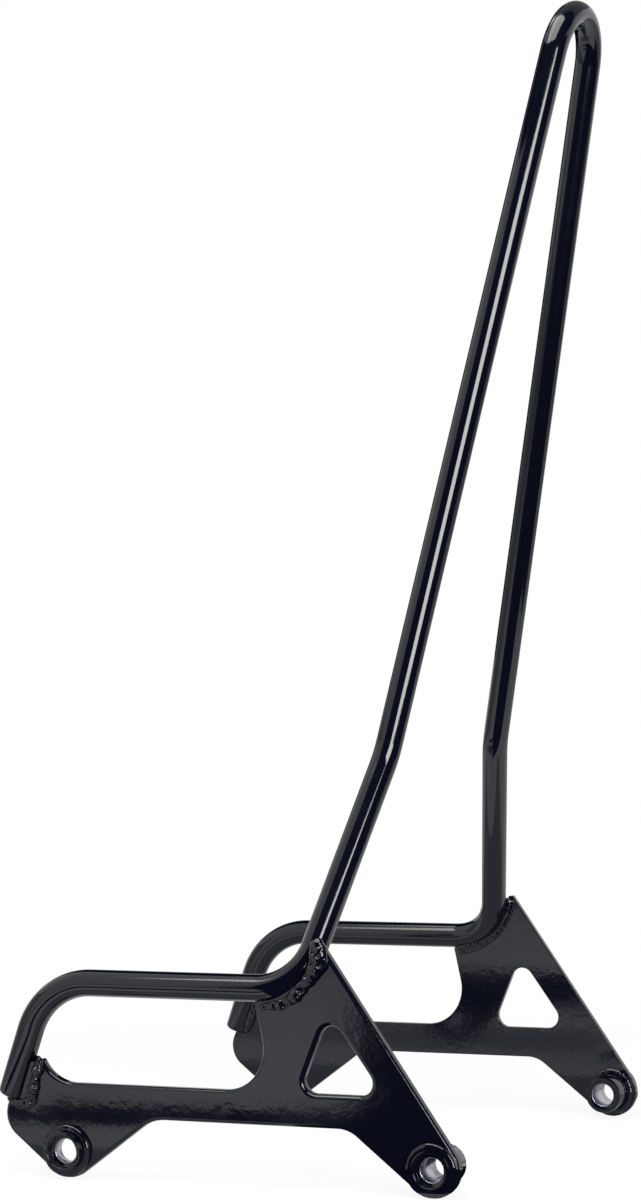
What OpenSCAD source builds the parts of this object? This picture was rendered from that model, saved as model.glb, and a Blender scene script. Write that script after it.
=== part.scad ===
// Passenger back hoop for a motorcycle: one bent round bar, two flat side plates
// and four turned bushings, all welded into one frame.
// Forward is -X, the left plate is at -Y, and the frame stands on its four plate lobes.

/* [Bar] */
// Diameter of the round bar with its coat
bar_d = 12.9; // [10:0.1:14]
// Height of the level run's centreline above the ground
run_height = 93.4; // [90:0.1:98]
// Lean of the front leg from level
front_leg_angle = 70.5; // [66:0.1:75]
// Position of the front bend's corner, from the front bushing
front_corner_x = -12; // [-20:0.5:-6]
// Height of the front leg's lower end above the ground
leg_end_height = 38.2; // [36:0.1:40]
// Chamfer on the cut ends of the bar
bar_end_chamfer = 1.1; // [0.5:0.1:2]
// Centreline radius of the front bend
front_bend_r = 35; // [28:0.5:38]
// Position of the rear bend's corner, from the front bushing
rear_corner_x = 122; // [118:0.5:128]
// Centreline radius of the rear bend
rear_bend_r = 26; // [22:0.5:30]
// Distance between the uprights at the kink, centre to centre
kink_width = 146.8; // [130:0.5:170]
// Position of the kink, from the front bushing
kink_x = 145.6; // [138:0.5:155]
// Height of the kink above the ground
kink_height = 199.5; // [185:0.5:220]
// Centreline radius of the kink
kink_bend_r = 40; // [25:0.5:60]
// Centreline height of the hoop's crown above the ground
crown_height = 558.9; // [500:0.1:620]
// Lean of the upper uprights towards the rear
upper_lean = 12.4; // [8:0.1:16]
// Centreline radius of the crown
crown_r = 25.3; // [20:0.1:32]

/* [Side plates] */
// Distance between the middles of the two plates
plate_spacing = 256; // [220:1:300]
// Thickness of the plates
plate_t = 4.76; // [3:0.01:6]
// Distance from the front bushing to the rear bushing
hole_spacing = 187.9; // [184:0.1:194]
// Radius of the round lobe about each bushing
lobe_r = 13.2; // [13:0.1:14]
// Depth of the straight edges inside the lobes' circles, where they run into them
lobe_ease = 0.02; // [0.01:0.01:0.05]
// Height of the arm's lower edge above the ground
arm_base = 29.6; // [28:0.1:31]
// Height of the arm from edge to edge
arm_height = 15.8; // [12:0.1:18]
// Slope of the front lobe's rear edge
front_lobe_slope = 36; // [32:0.5:40]
// Slope of the front lobe's front edge
front_nose_slope = 38.9; // [37:0.1:44]
// Slope of the front edge of the rear leg
leg_front_slope = 38.6; // [35:0.1:42]
// Slope of the rear edge of the rear leg
leg_rear_slope = 55.7; // [53:0.1:58]
// Fillet between the front lobe and the arm
front_fillet_r = 20; // [10:0.5:24]
// Fillet between the arm and the rear leg
leg_fillet_r = 15; // [10:0.5:22]
// Distance of the nose's centre from the front bushing
nose_reach = 26.2; // [25:0.1:28]
// Height above the ground of the horn that backs the front leg
horn_height = 56.2; // [53:0.1:59]
// Curve of the horn's rear edge
horn_curve_r = 19; // [15:0.5:22]
// Position of the opening's front edge, from the front bushing
opening_front_x = -15; // [-16:0.1:-13]
// Position of the opening's rear corner, from the front bushing
opening_rear_x = 108.2; // [105:0.1:110]
// Lean of the opening's rear edge
opening_lean = 11.4; // [8:0.1:14]
// Fillet in the opening's rear corner
opening_fillet_r = 20; // [12:0.5:22]
// Height of the plate's upper tip above the ground
tip_height = 115.4; // [112:0.1:118]
// Depth that the plate's upper edge reaches past the bar's underside
seat_bite = 0.8; // [0.6:0.05:1.5]

/* [Window in the plate] */
// Height of the window's lower edge above the ground
window_base = 45.3; // [44:0.1:47]
// Slope of the window's front edge
window_front_slope = 67.2; // [62:0.1:72]
// Position of the window's front corner, from the front bushing
window_front_x = 121.4; // [118:0.1:124]
// Slope of the window's rear edge
window_rear_slope = 54.8; // [50:0.1:60]
// Length of the window's lower edge between its sharp corners
window_length = 42.8; // [39:0.1:46]
// Rounding of the window's corners
window_r = 6; // [3:0.1:7]

/* [Bushings] */
// Outer diameter of the bushings
bush_d = 19; // [17:0.1:20]
// Diameter of the bolt's bore
bore_d = 11.4; // [8:0.1:12.5]
// Diameter of the counterbore for the bolt's head
counterbore_d = 15.6; // [13.5:0.1:16.5]
// Depth of the counterbore in a front bushing
front_counterbore = 4.7; // [2:0.1:6]
// Depth of the counterbore in a rear bushing
rear_counterbore = 3.4; // [2:0.1:6]
// Outward reach of a front bushing past its plate
front_out = 6.3; // [4:0.1:9]
// Outward reach of a rear bushing past its plate
rear_out = 3.6; // [3:0.1:7]
// Inward reach of a rear bushing past its plate
rear_in = 14.6; // [8:0.1:20]
// Chamfer on the bushings' outer edges
bush_chamfer = 0.6; // [0.3:0.1:1]

/* [Welds] */
// Radius of the weld drops along the bar
bead_r = 2.6; // [2.2:0.1:3]
// Distance between weld drops
bead_pitch = 2.6; // [2.2:0.1:3]
// Radius of the largest drop, at the plate's tip
tip_drop_r = 4.4; // [3.5:0.1:5]
// Angle round the rear bend at which its beads start
bead_start = 6; // [6:0.5:12]
// Angle round the rear bend at which the outer bead ends
bead_end = 76; // [70:0.5:78]
// Angle round the rear bend at which the inner bead ends
inner_bead_end = 66; // [60:0.5:68]
// Height of a drop's centre above the faces it joins, as a share of its radius
drop_lift = 0.3; // [0.2:0.05:0.5]
// Unevenness of the drops' radii
drop_wobble = 0.08; // [0:0.01:0.1]
// Leg length of the smooth fillet about a bushing
ring_leg = 2.8; // [2.2:0.1:3]
// Radius of the weld drops about a bushing
ring_drop_r = 2.2; // [1.8:0.1:2.6]
// Number of weld drops about a bushing
ring_drops = 16; // [12:1:22]
// Gap between pieces that are welded together
weld_gap = 0.1; // [0.05:0.05:0.2]
// Swell of the balls that close the bar's tangent joints
joint_swell = 0.01; // [0.005:0.005:0.03]

/* [Hidden] */

coat_colour = [0.07, 0.08, 0.11];
steel_colour = [0.45, 0.46, 0.48];
// Facets of a full turn: of the bar and the drops, of turned pieces, and of the rear bend's seat
round_facets = 32;
turned_facets = 96;
seat_facets = 160;
// Rounds in which the crown's corner settles
settle_rounds = 12;
// Angle between the sines that make neighbouring drops uneven
wobble_step = 137;
// Reach of the cutting shapes past the plate
past = 20;
// Share of a bushing fillet's leg at its toes and at its middle
fillet_toe = 0.2;
fillet_middle = 0.55;

bar_r = bar_d / 2;
half_spacing = plate_spacing / 2;
arm_top = arm_base + arm_height;
bore_height = lobe_r;

// Points of the bar's corners, in the left half, before the frame is centred
leg_end = [front_corner_x - (run_height - leg_end_height) / tan(front_leg_angle),
           -half_spacing, leg_end_height];
front_corner = [front_corner_x, -half_spacing, run_height];
rear_corner = [rear_corner_x, -half_spacing, run_height];
kink = [kink_x, -kink_width / 2, kink_height];
crown_x = kink_x + (crown_height - kink_height) * tan(upper_lean);

// The frame's middle lies halfway between the leg's foremost point and the crown's rearmost
front_limit = leg_end[0] + bar_end_chamfer * cos(front_leg_angle) - bar_r * sin(front_leg_angle);
mid_x = (front_limit + crown_x + bar_r) / 2;

function unit(v) = v / norm(v);

// Half-width of the crown's corner, found where the leaning upright meets the crown's top line.
// The upright runs from the kink to that corner, and the crown's arc is tangent to both lines.
function corner_reach(half_w) =
  let (d = unit([crown_x - kink_x, -kink[1] - half_w, crown_height - kink_height]))
  crown_r * tan((90 - asin(d[1])) / 2);
function settle(half_w, n) = n == 0 ? half_w : settle(corner_reach(half_w), n - 1);
crown_half_w = settle(crown_r, settle_rounds);
crown_corner = [crown_x, -crown_half_w, crown_height];

// Directions of the straight stretches, from the leg's end upwards
leg_dir = unit(front_corner - leg_end);
run_dir = [1, 0, 0];
lower_dir = unit(kink - rear_corner);
upper_dir = unit(crown_corner - kink);
crown_exit = [-upper_dir[0], upper_dir[1], -upper_dir[2]];
crown_peak = crown_corner + upper_dir * crown_half_w / upper_dir[1];

// Length from a corner to where its bend starts
function bend_reach(r, a, b) = r * tan(acos(a * b) / 2);
front_reach = bend_reach(front_bend_r, leg_dir, run_dir);
rear_reach = bend_reach(rear_bend_r, run_dir, lower_dir);
kink_reach = bend_reach(kink_bend_r, lower_dir, upper_dir);
peak_reach = bend_reach(crown_r, upper_dir, crown_exit);
rear_bend_x = rear_corner_x - rear_reach;

// Direction from a bend's start towards its centre
function bend_in(a, b) = unit(b - a * (a * b));

// Angles for rotate() that turn the X axis to x and the Y axis to y
function turn_to(x, y) =
  let (z = cross(x, y))
  [atan2(y[2], z[2]), -asin(x[2]), atan2(x[1], x[0])];

// Turns a piece made about Z so that it runs from p towards q
module along(p, q) {
  d = unit(q - p);
  translate(p)
    rotate([0, acos(d[2]), atan2(d[1], d[0])])
      children();
}

module straight(p, q, r) {
  along(p, q)
    cylinder(h = norm(q - p), r = r, $fn = round_facets);
}

module arc(corner, a, b, bend_r, r) {
  n = bend_in(a, b);
  translate(corner - a * bend_reach(bend_r, a, b) + n * bend_r)
    rotate(turn_to(-n, a))
      rotate_extrude(angle = acos(a * b), $fn = turned_facets)
        translate([bend_r, 0])
          circle(r = r, $fn = round_facets);
}

// A bend with a ball at each end, which closes the tangent joint with the straight there
module bend(corner, a, b, bend_r, r) {
  reach = bend_reach(bend_r, a, b);
  arc(corner, a, b, bend_r, r);
  along(corner - a * reach, corner) sphere(r = r + joint_swell, $fn = round_facets);
  along(corner + b * reach, corner) sphere(r = r + joint_swell, $fn = round_facets);
}

// The front leg, from its cut end to the front bend
module front_leg(r, chamfer, extra) {
  foot = leg_end - leg_dir * extra;
  top = front_corner - leg_dir * front_reach;
  along(foot, top)
    rotate_extrude($fn = round_facets)
      polygon([[0, 0], [r - chamfer, 0], [r, chamfer], [r, norm(top - foot)], [0, norm(top - foot)]]);
}

module half_bar() {
  front_leg(bar_r, bar_end_chamfer, 0);
  bend(front_corner, leg_dir, run_dir, front_bend_r, bar_r);
  straight(front_corner + run_dir * front_reach, rear_corner - run_dir * rear_reach, bar_r);
  bend(rear_corner, run_dir, lower_dir, rear_bend_r, bar_r);
  straight(rear_corner + lower_dir * rear_reach, kink - lower_dir * kink_reach, bar_r);
  bend(kink, lower_dir, upper_dir, kink_bend_r, bar_r);
  straight(kink + upper_dir * kink_reach, crown_peak - upper_dir * peak_reach, bar_r);
}

module bent_bar() {
  color(coat_colour)
    translate([-mid_x, 0, 0]) {
      half_bar();
      mirror([0, 1, 0]) half_bar();
      // The crown is one arc from upright to upright, with its corner above it on the middle plane
      bend(crown_peak, upper_dir, crown_exit, crown_r, bar_r);
    }
}

// Outline helpers. A convex outline gets its corners rounded with true arcs.
function corner_reach_2d(p, a, b, r) = r / tan(acos(unit(a - p) * unit(b - p)) / 2);
function corner_cut(p, a, b, r) =
  r == 0 ? [p] : [p + unit(a - p) * corner_reach_2d(p, a, b, r),
                  p + unit(b - p) * corner_reach_2d(p, a, b, r)];
function corner_centre(p, a, b, r) =
  p + unit(unit(a - p) + unit(b - p)) * r / sin(acos(unit(a - p) * unit(b - p)) / 2);

module rounded(points, radii) {
  n = len(points);
  polygon([for (i = [0 : n - 1])
    each corner_cut(points[i], points[(i + n - 1) % n], points[(i + 1) % n], radii[i])]);
  for (i = [0 : n - 1])
    if (radii[i] > 0)
      translate(corner_centre(points[i], points[(i + n - 1) % n], points[(i + 1) % n], radii[i]))
        circle(r = radii[i], $fn = turned_facets);
}

// Plate outline, in X and height above the ground
front_hole = [0, bore_height];
rear_hole = [hole_spacing, bore_height];
edge_r = lobe_r - lobe_ease;
nose = front_hole + nose_reach * [-cos(front_nose_slope), sin(front_nose_slope)];
nose_low = edge_r * [-sin(front_nose_slope), -cos(front_nose_slope)];
front_low = front_hole + edge_r * [sin(front_lobe_slope), -cos(front_lobe_slope)];
rear_low = rear_hole + edge_r * [-sin(leg_front_slope), -cos(leg_front_slope)];
rear_edge = rear_hole + edge_r * [sin(leg_rear_slope), cos(leg_rear_slope)];
tip = [rear_edge[0] - (tip_height - rear_edge[1]) / tan(leg_rear_slope), tip_height];
seat_r = rear_bend_r + bar_r - seat_bite;
cut_top = tip_height + past;

module belly() {
  drop = [0, lobe_r];
  rounded(
    [front_low - drop, front_low,
     [front_low[0] + (arm_base - front_low[1]) / tan(front_lobe_slope), arm_base],
     [rear_low[0] - (arm_base - rear_low[1]) / tan(leg_front_slope), arm_base],
     rear_low, rear_low - drop],
    [0, 0, front_fillet_r, leg_fillet_r, 0, 0]);
}

module opening() {
  rounded(
    [[opening_front_x, cut_top], [opening_front_x, arm_top], [opening_rear_x, arm_top],
     [opening_rear_x - (cut_top - arm_top) * tan(opening_lean), cut_top]],
    [0, horn_curve_r, opening_fillet_r, 0]);
}

module window() {
  rear_x = window_front_x + window_length;
  apex = window_length / (1 / tan(window_front_slope) + 1 / tan(window_rear_slope));
  rounded(
    [[window_front_x, window_base], [rear_x, window_base],
     [window_front_x + apex / tan(window_front_slope), window_base + apex]],
    [window_r, window_r, window_r]);
}

// The room above the plate that the bar takes
module seat() {
  translate([rear_bend_x, run_height + rear_bend_r])
    circle(r = seat_r, $fn = seat_facets);
  translate([0, run_height - bar_r - weld_gap])
    square([rear_bend_x, cut_top]);
}

module plate_outline() {
  leg_at_horn = leg_end[0] + (horn_height - leg_end_height) / tan(front_leg_angle);
  difference() {
    polygon([
      front_low, front_hole, front_hole + nose_low, nose + nose_low, nose,
      [leg_end[0], leg_end_height], [leg_at_horn, horn_height], [rear_bend_x / 2, horn_height],
      [rear_bend_x / 2, tip_height], tip, rear_edge, rear_hole, rear_low
    ]);
    belly();
    opening();
    window();
    seat();
  }
}

// A flat piece in the left plate's plane
module in_plate(t) {
  translate([0, -half_spacing + t / 2, 0])
    rotate([90, 0, 0])
      linear_extrude(t)
        children();
}

// The plate without its coping and holes
module plate_blank(t) {
  in_plate(t) plate_outline();
  for (centre = [nose, front_hole, rear_hole])
    in_plate(t)
      translate(centre)
        circle(r = lobe_r, $fn = turned_facets);
}

// Turns a piece made about Z, outside upwards, to a bushing's place in the left plate
module at_bushing(x) {
  translate([x, -half_spacing, bore_height])
    rotate([90, 0, 0])
      children();
}

// The room that a welded piece leaves round the front leg, and round the rear bend
module leg_room() {
  front_leg(bar_r + weld_gap, bar_end_chamfer, weld_gap);
}

module bend_room() {
  arc(rear_corner, run_dir, lower_dir, rear_bend_r, bar_r + weld_gap);
}

module left_plate() {
  difference() {
    plate_blank(plate_t);
    leg_room();
    bend_room();
    for (x = [0, hole_spacing])
      at_bushing(x)
        cylinder(h = 2 * plate_t, r = bush_d / 2 + weld_gap, center = true, $fn = turned_facets);
  }
}

module bushing(out, in, counterbore) {
  bore_r = bore_d / 2;
  head_r = counterbore_d / 2;
  r = bush_d / 2;
  top = plate_t / 2 + out;
  base = -plate_t / 2 - in;
  rotate_extrude($fn = turned_facets)
    polygon([
      [bore_r, base], [r - bush_chamfer, base], [r, base + bush_chamfer],
      [r, top - bush_chamfer], [r - bush_chamfer, top], [head_r, top],
      [head_r, top - counterbore], [bore_r, top - counterbore]
    ]);
}

// The smooth fillet about a bushing, on the plate's outer face
module smooth_ring() {
  r = bush_d / 2 + weld_gap;
  face = plate_t / 2 + weld_gap;
  rotate_extrude($fn = turned_facets)
    polygon([
      [r, face], [r + ring_leg, face], [r + ring_leg, face + fillet_toe * ring_leg],
      [r + fillet_middle * ring_leg, face + fillet_middle * ring_leg],
      [r + fillet_toe * ring_leg, face + ring_leg],
      [r, face + ring_leg]
    ]);
}

// Rippled fillet about a bushing, on the plate's inner face
module rippled_ring() {
  r = bush_d / 2 + weld_gap;
  difference() {
    for (i = [0 : ring_drops - 1])
      rotate(i * 360 / ring_drops)
        translate([r + drop_lift * ring_drop_r, 0, -plate_t / 2 - drop_lift * ring_drop_r])
          sphere(r = ring_drop_r * ripple(i), $fn = round_facets);
    cylinder(h = plate_t + 2 * past, r = r, center = true, $fn = turned_facets);
    cube([bush_d + past, bush_d + past, plate_t + 2 * weld_gap], center = true);
  }
}

// A row of drops, cut back to the faces of the bar and the plate
module bead(points, radii) {
  difference() {
    for (i = [0 : len(points) - 1])
      along(points[i], i == 0 ? points[1] : 2 * points[i] - points[i - 1])
        sphere(r = radii[i], $fn = round_facets);
    children();
    plate_blank(plate_t + 2 * weld_gap);
  }
}

function ripple(i) = 1 + drop_wobble * sin(i * wobble_step);

// Beads beside the front leg. Side -1 is the plate's outer face, where the bead starts
// under the leg's cut end, and side 1 is the inner face.
module leg_bead(side) {
  across = [leg_dir[2], 0, -leg_dir[0]];
  length = (horn_height - leg_end_height) / sin(front_leg_angle);
  off = drop_lift * bead_r;
  under = side > 0 ? [] :
    [for (d = [bar_end_chamfer - bar_r + off : bead_pitch : bar_r - off])
      leg_end - leg_dir * off + across * d];
  beside =
    [for (d = [0 : bead_pitch : length])
      leg_end + leg_dir * d + across * (bar_r + off)];
  row = concat(under, beside);
  lift = [0, side * (plate_t / 2 + off), 0];
  bead([for (p = row) p + lift], [for (i = [0 : len(row) - 1]) bead_r * ripple(i)])
    leg_room();
}

// Beads along the rear bend, up to an angle, growing towards the plate's tip
module bend_bead(side, end, growth) {
  off = drop_lift * bead_r;
  r = rear_bend_r + bar_r + off;
  n = floor(r * (end - bead_start) * PI / 180 / bead_pitch);
  bead(
    [for (i = [0 : n]) let (a = bead_start + i / n * (end - bead_start))
      [rear_bend_x + r * sin(a),
       -half_spacing + side * (plate_t / 2 + off),
       run_height + rear_bend_r - r * cos(a)]],
    [for (i = [0 : n]) bead_r * ripple(i) + growth * pow(i / n, 4)]) bend_room();
}

// Moves a left-hand piece into the centred frame, and mirrors it for the right-hand side
module on_side(side) {
  translate([-mid_x, 0, 0])
    mirror([0, side == "right" ? 1 : 0, 0])
      children();
}

module side_plate(side) {
  color(coat_colour) on_side(side) left_plate();
}

module front_bushing(side) {
  color(steel_colour) on_side(side) at_bushing(0) bushing(front_out, 0, front_counterbore);
}

module rear_bushing(side) {
  color(steel_colour) on_side(side) at_bushing(hole_spacing) bushing(rear_out, rear_in, rear_counterbore);
}

module front_bushing_weld(side) {
  color(coat_colour) on_side(side) at_bushing(0) smooth_ring();
}

module rear_bushing_weld(side) {
  color(coat_colour) on_side(side) at_bushing(hole_spacing) smooth_ring();
}

module rear_bushing_inner_weld(side) {
  color(coat_colour) on_side(side) at_bushing(hole_spacing) rippled_ring();
}

module front_leg_weld(side) {
  color(coat_colour) on_side(side) leg_bead(-1);
}

module front_leg_inner_weld(side) {
  color(coat_colour) on_side(side) leg_bead(1);
}

module rear_bend_weld(side) {
  color(coat_colour) on_side(side) bend_bead(-1, bead_end, tip_drop_r - bead_r);
}

module rear_bend_inner_weld(side) {
  color(coat_colour) on_side(side) bend_bead(1, inner_bead_end, 0);
}

bent_bar();
side_plate("left");  // side_plate_left
side_plate("right");  // side_plate_right
front_bushing("left");  // front_bushing_left
front_bushing("right");  // front_bushing_right
rear_bushing("left");  // rear_bushing_left
rear_bushing("right");  // rear_bushing_right
front_bushing_weld("left");  // front_bushing_weld_left
front_bushing_weld("right");  // front_bushing_weld_right
rear_bushing_weld("left");  // rear_bushing_weld_left
rear_bushing_weld("right");  // rear_bushing_weld_right
rear_bushing_inner_weld("left");  // rear_bushing_inner_weld_left
rear_bushing_inner_weld("right");  // rear_bushing_inner_weld_right
front_leg_weld("left");  // front_leg_weld_left
front_leg_weld("right");  // front_leg_weld_right
front_leg_inner_weld("left");  // front_leg_inner_weld_left
front_leg_inner_weld("right");  // front_leg_inner_weld_right
rear_bend_weld("left");  // rear_bend_weld_left
rear_bend_weld("right");  // rear_bend_weld_right
rear_bend_inner_weld("left");  // rear_bend_inner_weld_left
rear_bend_inner_weld("right");  // rear_bend_inner_weld_right
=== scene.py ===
"""Dressed model of a welded motorcycle back hoop: bent bar, side plates, bushings and welds.

Lengths are millimetres in the classes of the object and metres in those of the studio. X runs from
the front bushing towards the rear, Y is the row's own across axis and Z is the height above the
ground.
"""

import logging
import math
import random
from dataclasses import dataclass
from enum import Enum
from typing import Any, Optional, Sequence

import bmesh
import bpy
from mathutils import Matrix, Vector, noise


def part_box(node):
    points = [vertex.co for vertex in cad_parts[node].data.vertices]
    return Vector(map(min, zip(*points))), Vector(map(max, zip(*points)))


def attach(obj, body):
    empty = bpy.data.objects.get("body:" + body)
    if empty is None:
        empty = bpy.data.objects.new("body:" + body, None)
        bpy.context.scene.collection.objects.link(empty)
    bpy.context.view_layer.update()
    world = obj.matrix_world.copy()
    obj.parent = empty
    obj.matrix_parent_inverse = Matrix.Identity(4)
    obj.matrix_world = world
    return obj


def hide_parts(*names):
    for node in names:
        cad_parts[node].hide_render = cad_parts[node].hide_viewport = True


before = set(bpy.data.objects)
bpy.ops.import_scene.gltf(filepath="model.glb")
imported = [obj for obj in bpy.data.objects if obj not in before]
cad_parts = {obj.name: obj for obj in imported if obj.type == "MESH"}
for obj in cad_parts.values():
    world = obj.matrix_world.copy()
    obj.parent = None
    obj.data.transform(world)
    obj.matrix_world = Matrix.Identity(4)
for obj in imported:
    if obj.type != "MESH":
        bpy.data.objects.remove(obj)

LOG = logging.getLogger("back hoop")
MM = 0.001
# Nearly all values of a noise texture lie between these two
NOISE_LOW = 0.3
NOISE_HIGH = 0.7
WHITE = (1.0, 1.0, 1.0, 1.0)
Corner = tuple[float, float, float]


class Side(Enum):
    """The two halves of the frame, with the sign of their Y."""

    LEFT = -1
    RIGHT = 1

    @property
    def word(self) -> str:
        """The side's word in the names of pieces."""
        return self.name.lower()


class Where(Enum):
    """The two bushings of a plate, with their word in the names of pieces."""

    FRONT = "front"
    REAR = "rear"


class Skin(Enum):
    """What covers a stretch of a bushing, with its material slot."""

    COAT = 0
    BARE_STEEL = 1


# Small helpers


def linear(code: str) -> tuple[float, float, float, float]:
    """Turn an sRGB hex colour into linear RGBA.

    Args:
        code: Six hex digits after a hash sign.

    Returns:
        The colour as linear red, green, blue and an alpha of 1.
    """
    parts = [int(code[i:i + 2], 16) / 255 for i in (1, 3, 5)]
    red, green, blue = [p / 12.92 if p <= 0.04045 else ((p + 0.055) / 1.055) ** 2.4 for p in parts]
    return (red, green, blue, 1.0)


def per_mm(size: float) -> float:
    """Texture scale, in object metres, of a pattern whose features are that many millimetres wide."""
    return 1 / (size * MM)


def add_node(
    tree: bpy.types.NodeTree,
    kind: str,
    settings: Optional[dict[str, Any]] = None,
    inputs: Optional[dict[Any, Any]] = None,
) -> bpy.types.Node:
    """Add one node, set its options and fill or link its inputs.

    Args:
        tree: The node tree that gets the node.
        kind: The node's type name.
        settings: Attributes of the node.
        inputs: Values or output sockets for the node's inputs, by name or index.

    Returns:
        The new node.
    """
    made = tree.nodes.new(kind)
    for name, value in (settings or {}).items():
        setattr(made, name, value)
    for name, value in (inputs or {}).items():
        if isinstance(value, bpy.types.NodeSocket):
            tree.links.new(value, made.inputs[name])
        else:
            made.inputs[name].default_value = value
    return made


def blank_material(name: str) -> tuple[bpy.types.Material, bpy.types.NodeTree]:
    """Make a material with an empty node tree.

    Args:
        name: The material's name.

    Returns:
        The material and its node tree.
    """
    made = bpy.data.materials.new(name)
    made.use_nodes = True
    made.node_tree.nodes.clear()
    return made, made.node_tree


def piece_from(
    mesh: bmesh.types.BMesh, name: str, materials: Sequence[bpy.types.Material]
) -> bpy.types.Object:
    """Turn a finished bmesh into a smooth-shaded object in the scene.

    Args:
        mesh: The bmesh, in row-frame metres. It is freed.
        name: The object's name.
        materials: The object's material slots.

    Returns:
        The object.
    """
    data = bpy.data.meshes.new(name)
    mesh.to_mesh(data)
    mesh.free()
    data.polygons.foreach_set("use_smooth", [True] * len(data.polygons))
    for material in materials:
        data.materials.append(material)
    made = bpy.data.objects.new(name, data)
    bpy.context.scene.collection.objects.link(made)
    return made


def settled(made: bpy.types.Object) -> bpy.types.Object:
    """Apply an object's modifiers to its mesh.

    Args:
        made: The object.

    Returns:
        The same object, without modifiers.
    """
    bpy.context.view_layer.update()
    seen = made.evaluated_get(bpy.context.evaluated_depsgraph_get())
    data = bpy.data.meshes.new_from_object(seen)
    old = made.data
    made.modifiers.clear()
    made.data = data
    bpy.data.meshes.remove(old)
    return made


def declare(made: bpy.types.Object, slot: str, *nodes: str) -> None:
    """Tie a piece to the frame, hide the CAD nodes it stands for and report it.

    Args:
        made: The piece.
        slot: The record's material slot; it is not used.
        nodes: The CAD nodes that the piece stands for.
    """
    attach(made, "root")
    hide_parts(*nodes)
    LOG.info("%s: %d vertices, for %s", made.name, len(made.data.vertices), ", ".join(nodes))


def turned_skin(
    rows: Sequence[Sequence[bmesh.types.BMVert]], mesh: bmesh.types.BMesh
) -> list[bmesh.types.BMFace]:
    """Join the closed sections of a turned piece, each to the next one and the last to the first.

    Args:
        rows: The sections' corners, in equal number.
        mesh: The mesh that holds them.

    Returns:
        The faces, section by section.
    """
    faces = []
    for k, row in enumerate(rows):
        after = rows[(k + 1) % len(rows)]
        for i in range(len(row)):
            n = (i + 1) % len(row)
            faces.append(mesh.faces.new((row[i], row[n], after[n], after[i])))
    bmesh.ops.recalc_face_normals(mesh, faces=mesh.faces)
    return faces


# Finishes


@dataclass(frozen=True)
class PowderCoat:
    """Gloss black powder coat over steel, sprayed dry and baked until it flowed."""

    name: str = "black powder coat sprayed and baked"
    colour: str = "#04050f"
    thin_colour: str = "#070914"
    cloud_width: float = 24.0
    roughness: float = 0.085
    flow_spread: tuple[float, float] = (0.8, 1.25)
    ior: float = 1.5
    peel_width: float = 2.2
    peel_depth: float = 0.021
    wave_width: float = 5.5
    wave_depth: float = 0.032

    def material(self) -> bpy.types.Material:
        """Build the coat: a sharp clear reflection, broken up by the orange peel of the baked film.

        Returns:
            The material.
        """
        made, tree = blank_material(self.name)
        place = add_node(tree, "ShaderNodeTexCoord").outputs["Object"]
        # The film lies a little thinner in places, which shifts the black by a shade.
        cloud = add_node(tree, "ShaderNodeTexNoise", None,
                         {"Vector": place, "Scale": per_mm(self.cloud_width), "Detail": 3.0,
                          "Roughness": 0.55})
        tone = add_node(tree, "ShaderNodeMix", {"data_type": "RGBA"},
                        {"Factor": cloud.outputs["Fac"], "A": linear(self.colour),
                         "B": linear(self.thin_colour)})
        # Roughness drifts slightly where the film flowed out more or less.
        flow = add_node(tree, "ShaderNodeMapRange", None,
                        {"Value": cloud.outputs["Fac"], "From Min": NOISE_LOW, "From Max": NOISE_HIGH,
                         "To Min": self.roughness * self.flow_spread[0],
                         "To Max": self.roughness * self.flow_spread[1]})
        # Orange peel makes the borders of every reflection ragged on plates and streaky on the bar.
        peel = add_node(tree, "ShaderNodeTexNoise", None,
                        {"Vector": place, "Scale": per_mm(self.peel_width), "Detail": 1.5,
                         "Roughness": 0.5})
        wave = add_node(tree, "ShaderNodeTexNoise", None,
                        {"Vector": place, "Scale": per_mm(self.wave_width), "Detail": 1.0,
                         "Roughness": 0.4})
        long_bump = add_node(tree, "ShaderNodeBump", None,
                             {"Height": wave.outputs["Fac"], "Strength": 1.0,
                              "Distance": self.wave_depth * MM})
        bump = add_node(tree, "ShaderNodeBump", None,
                        {"Height": peel.outputs["Fac"], "Strength": 1.0, "Distance": self.peel_depth * MM,
                         "Normal": long_bump.outputs["Normal"]})
        surface = add_node(tree, "ShaderNodeBsdfPrincipled", None,
                           {"Base Color": tone.outputs["Result"], "Roughness": flow.outputs["Result"],
                            "IOR": self.ior, "Metallic": 0.0, "Normal": bump.outputs["Normal"]})
        add_node(tree, "ShaderNodeOutputMaterial", None, {"Surface": surface.outputs["BSDF"]})
        return made


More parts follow.
